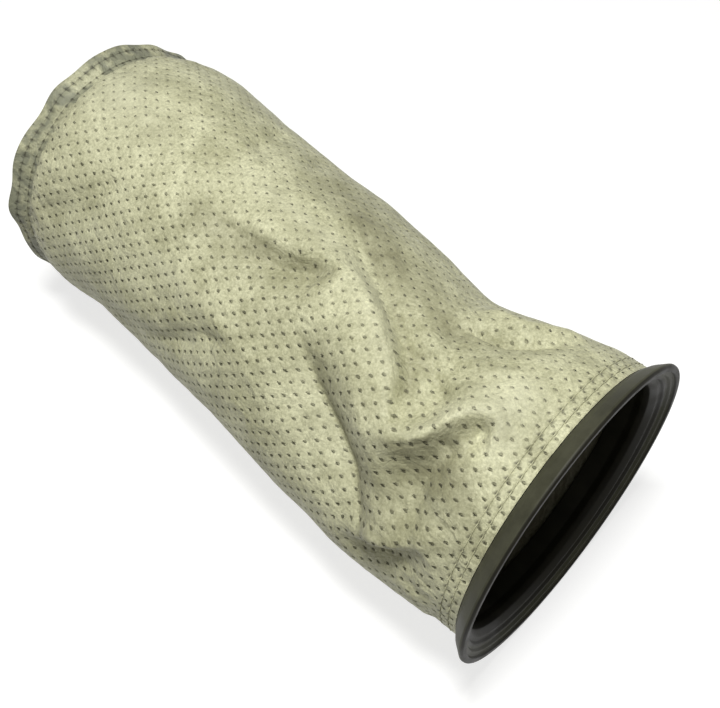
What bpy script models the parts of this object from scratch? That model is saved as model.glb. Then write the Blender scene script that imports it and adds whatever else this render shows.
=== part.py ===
"""Reusable cloth filter bag for a canister vacuum cleaner, lying on its side.

A tube of embossed filter cloth is sewn to a moulded rubber collar at its mouth
and closed by a round cloth panel at its far end.  Metres, +Z up, the bag's
length along X with the mouth at +X, resting on z = 0.
"""
import math

import bmesh
import bpy
import numpy as np

for leftover in list(bpy.data.objects):
    bpy.data.objects.remove(leftover, do_unlink=True)

# Driving dimensions, overall
BAG_LENGTH = 0.401         # from the collar's front face to the raw edge of the end lip
MOUTH_RADIUS = 0.079       # the clear hole through the collar
END_SWAY = 0.0207          # how far the far end lies off the collar's axis, towards +Y
SIDE_SHIFT = -0.0067       # moves the whole bag so that its box is centred on the origin

# Cloth
CLOTH = 0.0012             # thickness of the filter cloth
HEM_DEPTH = 0.015          # depth of the doubled hem sewn to the collar
HEM_FREE = 0.012           # length over which the cloth leaves the hem's round shape
GAP = 0.0003               # clearance between pieces that touch
FLOOR_PRESS = 0.001        # how far the sagging cloth is pressed flat by the floor
SAG_START = 0.030          # the cloth leaves the collar and starts to sag
SAG_END = 0.130            # from here on it lies on the floor
SAG_SPREAD = 38.0          # degrees round the bag that the sag takes

# Far end
END_DROP = 0.007           # how much lower its centre lies than the collar's
SHOULDER = 0.022           # length over which the cloth rounds in to the end seam
SEAM_DROP = 0.0055         # how far the end seam pulls the cloth in
LIP = 0.017                # seam allowance that stands out behind the end seam
LIP_WAVE = 0.0011          # unevenness of the raw edge
PANEL_BULGE = 0.007        # how far the end panel bows outwards
FLAP_WIDTH = 0.009         # width of the lengthwise seam's allowance, laid flat
FLAP_ANGLE = -8.0          # degrees from +Y, on the side away from the light
FLAP_STEP = 0.5            # degrees over which the flap's edge drops to the cloth

# Collar section, measured back from its front face
BAND_DEPTH = 0.011         # visible band in front of the cloth
BAND_FOOT = 0.0003         # how far the band's foot stands above the cloth
BAND_FLARE = 0.0042        # rise of the short steep flare in front of the cloth
FLARE_DEPTH = 0.0033       # length of that flare
RIM_DEPTH = 0.0022         # from the front face to the widest line of the rim
RIM_ROUND = 0.0010         # rounding from the widest line in to the front ring
FRONT_RING = 0.0030        # width of the flat ring at the very front
STEPS = 3                  # shallow steps that lead in from the front ring
STEP_DEPTH = 0.0018
STEP_SLANT = 0.0004        # draft of each step's riser
NECK_FUNNEL = 0.0023       # how far the hole still narrows behind the steps
NECK_START = 0.0085        # the hole is at its narrowest from here
NECK_LENGTH = 0.0040
NECK_LIP = 0.0020          # how far the neck stands in from the sleeve's inside
SLEEVE_WALL = 0.0030       # wall of the sleeve that the cloth is sewn to
SLEEVE_DEPTH = 0.016       # length of the sleeve inside the cloth
RIM_RISE = 0.0088          # how far the rim stands out beyond the hem
COLLAR_PRESS = 0.0005      # how far the soft rim is pressed flat by the floor

# Sizes that follow, from the hole outwards
SLEEVE_INSIDE = MOUTH_RADIUS + NECK_LIP
SLEEVE_OUTSIDE = SLEEVE_INSIDE + SLEEVE_WALL
HEM_RADIUS = SLEEVE_OUTSIDE + GAP + 2 * CLOTH
COLLAR_RADIUS = HEM_RADIUS + RIM_RISE
RING_INSIDE = COLLAR_RADIUS - RIM_ROUND - FRONT_RING
STEP_WIDTH = (RING_INSIDE - NECK_FUNNEL - MOUTH_RADIUS) / STEPS
COLLAR_CENTRE_HEIGHT = COLLAR_RADIUS - COLLAR_PRESS

# Facets
FOLDED_SIDE = (40.0, 180.0)  # degrees round the bag where most of the folds are
FINE_COLUMN = 5.2          # spacing of the facets there, degrees
COARSE_COLUMN = 9.0        # spacing of the facets round the rest
COLLAR_COLUMNS = 56        # facets round the collar
FINE_RING = 0.0072         # ring spacing where the cloth is folded
COARSE_RING = 0.0155       # ring spacing along the rest of the tube
PANEL_RINGS = 3            # rings between the end panel's rim and its middle
FOLDED_TO = 0.135          # the folds by the collar end here
SHOULDER_RINGS = 5
LIP_RINGS = 3
SHARP_ANGLE = 35.0         # edges sharper than this are shaded sharp, degrees
FOLD_SOFTENING = 0.008     # folds are softened by about the size of a facet

# Girth of the cloth: distance behind the collar's face, and how much wider than the
# hem it is there
GIRTH = [(0.011, 0.0), (0.026, 0.0008), (0.045, 0.0001), (0.075, -0.0029),
         (0.100, -0.0052), (0.150, -0.0035), (0.250, -0.0029), (0.320, -0.0017),
         (0.365, 0.0001), (0.401, -0.0013)]

# Sway of the cloth off its axis, along the direction SWAY_ANGLE
SWAY_ANGLE = 29.0
SWAY = [(0.011, 0.0), (0.030, -0.0015), (0.053, -0.0042), (0.076, -0.0082),
        (0.100, -0.0115), (0.125, -0.0100), (0.150, -0.0075), (0.200, -0.0027),
        (0.250, -0.0008), (0.300, 0.0030), (0.350, 0.0042), (0.384, 0.0012),
        (0.401, 0.0)]

# Folds: each is a line of points (distance behind the collar's face, degrees round
# the bag from +Y over the top, height, reach towards +Y or the far end, reach the
# other way)
FOLDS = {
    "v_crest": [(0.235, 107, 0.0, 0.010, 0.010), (0.200, 104, 0.0025, 0.014, 0.007),
                (0.175, 98, 0.0045, 0.012, 0.012), (0.150, 98.5, 0.0060, 0.006, 0.022),
                (0.130, 104, 0.0070, 0.005, 0.022), (0.110, 112, 0.0080, 0.005, 0.022),
                (0.100, 117, 0.0085, 0.005, 0.022), (0.092, 123, 0.0095, 0.005, 0.020),
                (0.086, 129, 0.0105, 0.005, 0.018), (0.079, 132.5, 0.0120, 0.007, 0.016),
                (0.070, 130.5, 0.0135, 0.008, 0.012), (0.065, 126, 0.0130, 0.008, 0.010),
                (0.060, 119.5, 0.0120, 0.008, 0.009), (0.055, 113, 0.0100, 0.009, 0.009),
                (0.050, 110, 0.0080, 0.010, 0.008), (0.044, 109, 0.0055, 0.010, 0.007),
                (0.038, 112, 0.0025, 0.008, 0.006), (0.034, 118, 0.0, 0.006, 0.006)],
    "left_of_v": [(0.185, 78, 0.0, 0.009, 0.006), (0.160, 87, -0.0030, 0.011, 0.006),
                  (0.140, 94, -0.0050, 0.012, 0.005), (0.120, 102, -0.0060, 0.011, 0.004),
                  (0.107, 107, -0.0065, 0.008, 0.004), (0.096, 114.5, -0.0065, 0.006, 0.004),
                  (0.090, 121, -0.0065, 0.005, 0.004), (0.085, 127.5, -0.0040, 0.005, 0.004),
                  (0.081, 130, 0.0, 0.004, 0.004)],
    "v_floor": [(0.098, 100, 0.0, 0.010, 0.010), (0.086, 106, -0.0050, 0.012, 0.010),
                (0.077, 114, -0.0060, 0.010, 0.010), (0.072, 121, -0.0035, 0.008, 0.008),
                (0.070, 126, 0.0, 0.006, 0.006)],
    "terrace_line": [(0.170, 122, 0.0, 0.012, 0.020), (0.155, 129, -0.0040, 0.012, 0.026),
                     (0.140, 137, -0.0080, 0.014, 0.032), (0.131, 142, -0.0100, 0.015, 0.034),
                     (0.116, 149, -0.0110, 0.016, 0.034), (0.101, 156, -0.0095, 0.016, 0.030),
                     (0.084, 167, -0.0055, 0.014, 0.022), (0.072, 175, -0.0020, 0.010, 0.016),
                     (0.064, 182, 0.0, 0.010, 0.012)],
    "terrace_shoulder": [(0.150, 108, 0.0, 0.012, 0.012), (0.135, 115, 0.0025, 0.012, 0.014),
                         (0.121, 123, 0.0045, 0.012, 0.015), (0.108, 131, 0.0055, 0.012, 0.015),
                         (0.095, 139, 0.0050, 0.010, 0.014), (0.084, 147, 0.0035, 0.010, 0.012),
                         (0.074, 156, 0.0, 0.010, 0.010)],
    "pocket": [(0.041, 108, 0.0, 0.006, 0.006), (0.045, 115, -0.0050, 0.006, 0.006),
               (0.050, 121, -0.0080, 0.006, 0.008), (0.054, 128, -0.0105, 0.006, 0.011),
               (0.056, 135, -0.0110, 0.007, 0.020), (0.056, 142, -0.0100, 0.008, 0.026),
               (0.053, 150, -0.0080, 0.008, 0.026), (0.050, 158, -0.0050, 0.008, 0.022),
               (0.046, 166, 0.0, 0.008, 0.016)],
    "low_crest": [(0.092, 176, 0.0, 0.012, 0.008), (0.078, 174, 0.0035, 0.016, 0.007),
                  (0.066, 169, 0.0060, 0.016, 0.006), (0.055, 164, 0.0065, 0.014, 0.006),
                  (0.045, 158, 0.0050, 0.012, 0.006), (0.036, 154, 0.0020, 0.010, 0.005),
                  (0.031, 150, 0.0, 0.008, 0.005)],
    "low_valley": [(0.090, 190, 0.0, 0.008, 0.010), (0.072, 181, -0.0050, 0.006, 0.012),
                   (0.060, 175, -0.0075, 0.006, 0.012), (0.050, 169, -0.0070, 0.006, 0.012),
                   (0.041, 164, -0.0040, 0.006, 0.010), (0.033, 161, 0.0, 0.005, 0.008)],
    "pinch": [(0.104, 96, 0.0, 0.010, 0.010), (0.092, 86, -0.0060, 0.008, 0.014),
              (0.084, 79, -0.0075, 0.005, 0.014), (0.070, 77, -0.0070, 0.005, 0.012),
              (0.058, 73, -0.0055, 0.006, 0.010), (0.048, 65, -0.0030, 0.008, 0.008),
              (0.040, 56, 0.0, 0.008, 0.008)],
    "bulge_over_pinch": [(0.100, 62, 0.0, 0.010, 0.008), (0.084, 66, 0.0045, 0.012, 0.007),
                         (0.068, 66, 0.0050, 0.012, 0.008), (0.054, 58, 0.0040, 0.012, 0.008),
                         (0.040, 48, 0.0, 0.010, 0.008)],
    "middle_valley": [(0.250, 119, 0.0, 0.008, 0.012), (0.232, 117, -0.0025, 0.009, 0.014),
                      (0.210, 114, -0.0038, 0.007, 0.014), (0.190, 110, -0.0048, 0.005, 0.014),
                      (0.177, 105.5, -0.0050, 0.004, 0.013), (0.168, 102.5, -0.0035, 0.004, 0.012),
                      (0.158, 102, 0.0, 0.004, 0.010)],
    "far_dimple": [(0.282, 44, 0.0, 0.009, 0.006), (0.273, 60, -0.0030, 0.010, 0.006),
                   (0.268, 72, -0.0032, 0.010, 0.005), (0.261, 83, 0.0, 0.008, 0.005)],
    "far_ripple": [(0.250, 40, 0.0, 0.008, 0.006), (0.240, 56, -0.0022, 0.009, 0.006),
                   (0.228, 70, -0.0015, 0.009, 0.006), (0.215, 80, 0.0, 0.008, 0.006)],
    "shoulder_valley": [(0.378, 163, 0.0, 0.008, 0.010), (0.362, 155, -0.0028, 0.008, 0.011),
                        (0.342, 146, -0.0032, 0.008, 0.011), (0.325, 133, -0.0022, 0.008, 0.010),
                        (0.305, 122, 0.0, 0.008, 0.010)],
    "side_valley": [(0.310, 190, 0.0, 0.010, 0.012), (0.280, 182, -0.0025, 0.010, 0.014),
                    (0.255, 175, -0.0035, 0.009, 0.013), (0.232, 164, -0.0035, 0.008, 0.012),
                    (0.213, 155, -0.0028, 0.007, 0.010), (0.196, 147, 0.0, 0.006, 0.008)],
    "side_ridge": [(0.262, 138, 0.0, 0.011, 0.011), (0.235, 141, 0.0022, 0.012, 0.011),
                   (0.210, 144, 0.0030, 0.012, 0.010), (0.185, 146, 0.0020, 0.012, 0.012),
                   (0.160, 150, 0.0, 0.012, 0.012)],
    "far_side_hollow": [(0.215, -18, 0.0, 0.020, 0.020), (0.170, -2, -0.004, 0.020, 0.020),
                        (0.120, 10, -0.006, 0.020, 0.020), (0.080, 24, 0.0, 0.020, 0.020)],
    "far_side_fold": [(0.120, -40, 0.0, 0.010, 0.012), (0.090, -26, 0.004, 0.010, 0.012),
                      (0.060, -18, 0.004, 0.010, 0.012), (0.036, -10, 0.0, 0.010, 0.012)],
}


def smooth_value(stations, at):
    """Smooth curve through (position, value) stations, read at the positions given."""
    xs = np.array([station[0] for station in stations])
    ys = np.array([station[1] for station in stations])
    slopes = np.gradient(ys, xs)
    at = np.clip(np.asarray(at, float), xs[0], xs[-1])
    left = np.clip(np.searchsorted(xs, at, side="right") - 1, 0, len(xs) - 2)
    span = xs[left + 1] - xs[left]
    t = (at - xs[left]) / span
    start = (1 + 2 * t) * (1 - t) ** 2 * ys[left] + t * (1 - t) ** 2 * span * slopes[left]
    end = t * t * (3 - 2 * t) * ys[left + 1] + t * t * (t - 1) * span * slopes[left + 1]
    return start + end


def ramp(value, start, end):
    """Smooth step from 0 at start to 1 at end."""
    t = np.clip((value - start) / (end - start), 0.0, 1.0)
    return t * t * (3 - 2 * t)


def turn_from(angle, middle):
    """Signed degrees from one angle to another, the short way round."""
    return (angle - middle + 180.0) % 360.0 - 180.0


def fold_height(line, depth, angle):
    """Height that one fold adds, from the distance to its line on the flat cloth.

    The fold is softened by FOLD_SOFTENING, and lowered to match, so that the facets can
    follow it.
    """
    best = np.full(depth.shape, np.inf)
    height = np.zeros(depth.shape)
    for (d0, a0, *start), (d1, a1, *end) in zip(line[:-1], line[1:]):
        run = np.array([d1 - d0, math.radians(a1 - a0) * HEM_RADIUS])
        along = depth - d0
        across = np.radians(turn_from(angle, a0)) * HEM_RADIUS
        t = np.clip((along * run[0] + across * run[1]) / (run @ run), 0.0, 1.0)
        distance = np.hypot(along - t * run[0], across - t * run[1])
        ease = t * t * (3 - 2 * t)
        top, before, after = (s + (e - s) * ease for s, e in zip(start, end))
        reach = np.where(run[0] * across > run[1] * along, before, after)
        mean_reach = (before + after) / 2
        softened = top * mean_reach / np.hypot(mean_reach, FOLD_SOFTENING)
        profile = softened * np.exp(-distance ** 2 / (reach ** 2 + FOLD_SOFTENING ** 2))
        near = distance < best
        best = np.where(near, distance, best)
        height = np.where(near, profile, height)
    return height


def axis_share(depth):
    """0 as far as the hem's end, where the bag's axis leaves the collar's, then up to 1."""
    hem_end = BAND_DEPTH + HEM_DEPTH
    return np.clip((depth - hem_end) / (BAG_LENGTH - hem_end), 0.0, 1.0)


def centre_height(depth):
    """Height of the bag's axis above the floor."""
    return COLLAR_CENTRE_HEIGHT - END_DROP * axis_share(depth)


def axis_point(depth):
    """Point on the bag's axis, a distance behind the collar's front face."""
    x = BAG_LENGTH / 2 - depth
    return x, SIDE_SHIFT + END_SWAY * axis_share(depth), centre_height(depth)


def flap_half_angle():
    """Half the angle that the lengthwise seam's flap takes round the bag."""
    return math.degrees(FLAP_WIDTH / 2 / HEM_RADIUS)


def end_profile(depth):
    """How far the end seam and its lip draw the cloth in."""
    seam = BAG_LENGTH - LIP
    rounding = np.clip((depth - (seam - SHOULDER)) / SHOULDER, 0.0, 1.0)
    shoulder = SEAM_DROP * (1 - np.sqrt(np.clip(1 - rounding ** 2, 0.0, 1.0)))
    flare = ramp(depth, seam, BAG_LENGTH)
    return shoulder * (1 - flare)


def cloth_radius(depth, angle):
    """Outside radius of the cloth tube, folds, sag and floor contact included."""
    depth = np.asarray(depth, float)
    angle = np.asarray(angle, float)
    turn = np.radians(angle)
    girth = HEM_RADIUS + smooth_value(GIRTH, depth)
    radius = girth + smooth_value(SWAY, depth) * np.cos(turn - math.radians(SWAY_ANGLE))
    for fold in FOLDS.values():
        radius = radius + fold_height(fold, depth, angle)
    hem_end = BAND_DEPTH + HEM_DEPTH
    free = ramp(depth, hem_end, hem_end + HEM_FREE)
    radius = HEM_RADIUS + (radius - HEM_RADIUS) * free

    below = turn_from(angle, 270.0)
    bottom = girth + smooth_value(SWAY, depth) * math.cos(math.radians(270 - SWAY_ANGLE))
    sag = np.clip(centre_height(depth) + FLOOR_PRESS - bottom, 0.0, None)
    sag = sag * ramp(depth, SAG_START, SAG_END)
    radius = radius + sag * np.exp(-(below / SAG_SPREAD) ** 2)
    radius = radius - end_profile(depth)
    wave = np.sin(5 * turn + 0.6) + 0.6 * np.sin(11 * turn)
    radius = radius + LIP_WAVE * wave * ramp(depth, BAG_LENGTH - LIP, BAG_LENGTH)

    off = np.abs(turn_from(angle, FLAP_ANGLE))
    on_flap = (off < flap_half_angle()) & (depth > hem_end) & (depth < BAG_LENGTH - LIP)
    radius = radius + np.where(on_flap, CLOTH, 0.0)
    reach_down = np.where(np.sin(turn) < -0.05, -np.sin(turn), 1e-6)
    return np.minimum(radius, centre_height(depth) / reach_down)


def ring(depth, radii, angles):
    """Points of one ring round the axis."""
    x, y, z = axis_point(depth)
    turn = np.radians(angles)
    return [(x, y + r * math.cos(t), max(0.0, z + r * math.sin(t))) for r, t in zip(radii, turn)]


def closed_shell(name, rings, material):
    """One closed body from rings that run out over the outside and back inside."""
    mesh = bmesh.new()
    loops = [[mesh.verts.new(point) for point in points] for points in rings]
    for this, following in zip(loops, loops[1:] + loops[:1]):
        join_rings(mesh, this, following)
    return finish(name, mesh, material)


def capped_shell(name, first_pole, rings, last_pole, material):
    """One closed body from rings that start round one point and end round another."""
    mesh = bmesh.new()
    loops = [[mesh.verts.new(point) for point in points] for points in rings]
    for this, following in zip(loops, loops[1:]):
        join_rings(mesh, this, following)
    for pole, loop in ((first_pole, loops[0]), (last_pole, loops[-1])):
        centre = mesh.verts.new(pole)
        for i, vertex in enumerate(loop):
            mesh.faces.new((centre, vertex, loop[(i + 1) % len(loop)]))
    return finish(name, mesh, material)


def join_rings(mesh, this, following):
    """Band of triangles between two rings of as many points.

    The diagonals lean the same way seen from the mouth, whichever ring comes first, so
    two surfaces that run side by side stay the same distance apart.
    """
    if this[0].co.x < following[0].co.x:
        this, following = following, this
    for i in range(len(this)):
        j = (i + 1) % len(this)
        mesh.faces.new((this[i], this[j], following[j]))
        mesh.faces.new((this[i], following[j], following[i]))


def finish(name, mesh, material):
    """Turn the faces outwards and make the object, shaded smooth."""
    bmesh.ops.recalc_face_normals(mesh, faces=mesh.faces)
    data = bpy.data.meshes.new(name)
    mesh.to_mesh(data)
    mesh.free()
    data.shade_smooth()
    data.set_sharp_from_angle(angle=math.radians(SHARP_ANGLE))
    data.materials.append(material)
    part = bpy.data.objects.new(name, data)
    bpy.context.scene.collection.objects.link(part)
    return part


def surface(name, colour, roughness):
    """Principled material of one colour."""
    material = bpy.data.materials.new(name)
    material.use_nodes = True
    shader = material.node_tree.nodes["Principled BSDF"]
    shader.inputs["Base Color"].default_value = (*colour, 1.0)
    shader.inputs["Roughness"].default_value = roughness
    shader.inputs["Metallic"].default_value = 0.0
    return material


def cloth_columns():
    """Angles of the facets round the cloth, with the flap's edges among them."""
    half = flap_half_angle()
    edges = np.array([FLAP_ANGLE + side * half + step
                      for side in (-1, 1) for step in (-FLAP_STEP, FLAP_STEP)]) % 360.0
    first, last = FOLDED_SIDE
    fine = np.linspace(first, last, 1 + round((last - first) / FINE_COLUMN))
    rest = 360.0 - (last - first)
    coarse = last + np.linspace(0.0, rest, 1 + round(rest / COARSE_COLUMN))[1:-1]
    spread = np.concatenate([fine, coarse]) % 360.0
    away = np.abs(turn_from(spread, FLAP_ANGLE))
    clear = np.abs(away - half) > 3 * FLAP_STEP
    return np.sort(np.concatenate([spread[clear], edges]))


def tube_depths():
    """Places of the rings along the tube, close together where it is folded."""
    hem_end = BAND_DEPTH + HEM_DEPTH
    seam = BAG_LENGTH - LIP
    shoulder = seam - SHOULDER
    fine = np.linspace(hem_end, FOLDED_TO, 1 + round((FOLDED_TO - hem_end) / FINE_RING))
    coarse = np.linspace(FOLDED_TO, shoulder, 1 + round((shoulder - FOLDED_TO) / COARSE_RING))
    quarter = np.linspace(0.0, math.pi / 2, SHOULDER_RINGS + 1)
    turn_in = shoulder + SHOULDER * np.sin(quarter)
    return np.concatenate([[BAND_DEPTH + GAP], fine, coarse[1:], turn_in[1:], lip_depths()[1:]])


def lip_depths():
    """Places of the rings along the lip, from the end seam to the raw edge."""
    return np.linspace(BAG_LENGTH - LIP, BAG_LENGTH, LIP_RINGS + 1)


def make_cloth_tube(material):
    """The filter cloth: a folded, sagging tube with a doubled hem and a seam lip."""
    angles = cloth_columns()
    hem_end = BAND_DEPTH + HEM_DEPTH
    outside = []
    inside = []
    for depth in tube_depths():
        radii = cloth_radius(np.full(angles.shape, depth), angles)
        wall = 2 * CLOTH if depth <= hem_end else CLOTH
        outside.append(ring(depth, radii, angles))
        inside.append(ring(depth, radii - wall, angles))
    return closed_shell("cloth_tube", outside + inside[::-1], material)


def make_end_panel(material):
    """Round cloth panel that closes the far end, its rim turned back inside the lip."""
    angles = cloth_columns()
    seam = BAG_LENGTH - LIP
    rim = lip_depths()
    outer = [cloth_radius(np.full(angles.shape, depth), angles) - CLOTH - GAP for depth in rim]
    outer_rim = [ring(depth, radii, angles) for depth, radii in zip(rim, outer)]
    inner_rim = [ring(depth, radii - CLOTH, angles) for depth, radii in zip(rim[1:], outer[1:])]
    shares = np.linspace(0.0, 1.0, PANEL_RINGS + 1)[1:]
    front = []
    back = []
    for share in shares:
        depth = seam + PANEL_BULGE * (1 - share ** 2)
        front.append(ring(depth, outer[0] * share, angles))
        back.append(ring(depth + CLOTH, (outer[0] - CLOTH) * share, angles))
    first_pole = axis_point(seam + PANEL_BULGE)
    last_pole = axis_point(seam + PANEL_BULGE + CLOTH)
    rings = front[:-1] + outer_rim + inner_rim[::-1] + back[::-1]
    return capped_shell("end_panel", first_pole, rings, last_pole, material)


def collar_section():
    """Outline of the collar as (depth, radius), round the outside and back through the hole."""
    foot = HEM_RADIUS + BAND_FOOT
    sleeve_end = BAND_DEPTH + SLEEVE_DEPTH
    outline = [(0.0, COLLAR_RADIUS - RIM_ROUND),
               (RIM_DEPTH / 3, COLLAR_RADIUS - RIM_ROUND / 4),
               (RIM_DEPTH, COLLAR_RADIUS),
               (BAND_DEPTH - FLARE_DEPTH, foot + BAND_FLARE),
               (BAND_DEPTH, foot),
               (BAND_DEPTH, SLEEVE_OUTSIDE),
               (sleeve_end, SLEEVE_OUTSIDE),
               (sleeve_end, SLEEVE_INSIDE),
               (NECK_START + 2 * NECK_LENGTH, SLEEVE_INSIDE),
               (NECK_START + NECK_LENGTH, MOUTH_RADIUS),
               (NECK_START, MOUTH_RADIUS)]
    for step in range(STEPS, 0, -1):
        depth = step * STEP_DEPTH
        edge = RING_INSIDE - (step - 1) * STEP_WIDTH
        outline.append((depth, edge - STEP_WIDTH + STEP_SLANT))
        outline.append((depth, edge - STEP_SLANT))
    outline.append((0.0, RING_INSIDE))
    return outline


def make_collar(material):
    """Moulded collar, turned about its axis and pressed flat where it meets the floor."""
    angles = np.arange(COLLAR_COLUMNS) * 360.0 / COLLAR_COLUMNS
    x, y, z = axis_point(0.0)
    rings = []
    for depth, radius in collar_section():
        rings.append([(x - depth, y + radius * math.cos(t), max(0.0, z + radius * math.sin(t)))
                      for t in np.radians(angles)])
    return closed_shell("collar", rings, material)


filter_cloth = surface("filter_cloth", (0.55, 0.56, 0.38), 0.9)
collar_rubber = surface("collar_rubber", (0.03, 0.03, 0.022), 0.5)
make_cloth_tube(filter_cloth)
make_end_panel(filter_cloth)
make_collar(collar_rubber)
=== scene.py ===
"""Looks of the cloth vacuum bag: embossed cloth, stitches, rubber collar, camera and light.

Metres, the row's frame: the bag lies along X with its mouth at +X, on the floor at z = 0.
The cloth's outline follows the same named sizes as the construction model.
"""
import math
from itertools import product

import bpy
import numpy as np
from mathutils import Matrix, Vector, geometry, noise


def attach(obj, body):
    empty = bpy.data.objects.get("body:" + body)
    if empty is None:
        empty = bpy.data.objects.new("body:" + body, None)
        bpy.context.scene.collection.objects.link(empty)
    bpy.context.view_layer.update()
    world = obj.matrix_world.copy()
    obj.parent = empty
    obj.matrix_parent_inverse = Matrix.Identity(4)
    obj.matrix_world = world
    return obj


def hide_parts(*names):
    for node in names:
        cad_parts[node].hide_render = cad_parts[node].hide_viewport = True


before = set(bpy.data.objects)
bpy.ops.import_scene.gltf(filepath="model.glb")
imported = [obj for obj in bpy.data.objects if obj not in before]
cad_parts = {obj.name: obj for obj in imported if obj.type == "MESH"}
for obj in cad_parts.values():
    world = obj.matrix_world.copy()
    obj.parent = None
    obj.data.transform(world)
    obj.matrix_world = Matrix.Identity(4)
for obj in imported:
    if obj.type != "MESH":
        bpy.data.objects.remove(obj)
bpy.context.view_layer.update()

# Sizes shared with the construction model
BAG_LENGTH = 0.401
COLLAR_RADIUS = 0.0955
COLLAR_PRESS = 0.0005
END_CENTRE_HEIGHT = 0.088
END_SWAY = 0.0207
SIDE_SHIFT = -0.0067
CLOTH = 0.0012
HEM_DEPTH = 0.015
HEM_RADIUS = 0.0867
HEM_FREE = 0.012
GAP = 0.0003
FLOOR_PRESS = 0.001
SAG_START = 0.030
SAG_END = 0.130
SAG_SPREAD = 38.0
SHOULDER = 0.022
SEAM_DROP = 0.0055
LIP = 0.017
LIP_WAVE = 0.0011
PANEL_BULGE = 0.007
FLAP_WIDTH = 0.009
FLAP_ANGLE = -8.0
BAND_DEPTH = 0.011
BAND_FOOT = 0.0003
BAND_FLARE = 0.0042
FLARE_DEPTH = 0.0033
RIM_DEPTH = 0.0022
RIM_ROUND = 0.0010
FRONT_RING = 0.0030
STEPS = 3
STEP_WIDTH = 0.0034
STEP_DEPTH = 0.0018
STEP_SLANT = 0.0004
MOUTH_RADIUS = 0.079
NECK_START = 0.0085
NECK_LENGTH = 0.0040
SLEEVE_WALL = 0.0030
SLEEVE_DEPTH = 0.016
HEM_END = BAND_DEPTH + HEM_DEPTH
SEAM = BAG_LENGTH - LIP  # the end seam
COLLAR_CORNER = 0.0005  # how far its corners are rounded
COLLAR_CORNER_STEPS = 3
COLLAR_COLUMNS = 224

# Camera, from the fit to the photograph
CAMERA_PLACE = (0.29308, -0.28019, 0.58762)
CAMERA_AZIMUTH = 41.96
CAMERA_ELEVATION = 52.78
CAMERA_LENS = 52.26
SENSOR = 36.0

# Light, world and floor
WORLD_LIGHT = 0.075  # strength of the world's light on the bag
WORLD_TINT = (1.0, 0.96, 0.86)
WORLD_SHOWN = 0.80  # what the camera and reflections see of it
FLOOR_SIZE = 8.0
FLOOR_DROP = 0.0002  # the floor lies just under the bag
FLOOR_RAISE = 0.72  # whiteness added where the floor is seen or reflected
FLOOR_COLOUR = (0.38, 0.38, 0.37, 1.0)
BACKGROUND_RAYS = ("Is Camera Ray", "Is Glossy Ray", "Is Transmission Ray")


def filled(lines):
    """The lines in full: a point without reaches has those of the point before."""
    full = {}
    for name, points in lines.items():
        full[name] = []
        for point in points:
            reaches = point[3:] or reaches
            full[name].append((*point[:3], *reaches))
    return full


# Girth of the cloth: distance behind the collar's face and mean radius
GIRTH = [(0.011, 0.0867), (0.026, 0.0875), (0.045, 0.0868), (0.075, 0.0838),
         (0.100, 0.0815), (0.150, 0.0832), (0.250, 0.0838), (0.320, 0.0850),
         (0.365, 0.0868), (0.401, 0.0854)]

# Sway of the cloth off its axis, along the direction SWAY_ANGLE
SWAY_ANGLE = 29.0
SWAY = [(0.011, 0.0), (0.030, -0.0015), (0.053, -0.0042), (0.076, -0.0082),
        (0.100, -0.0115), (0.125, -0.0100), (0.150, -0.0075), (0.200, -0.0027),
        (0.250, -0.0008), (0.300, 0.0030), (0.350, 0.0042), (0.384, 0.0012),
        (0.401, 0.0)]

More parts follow.
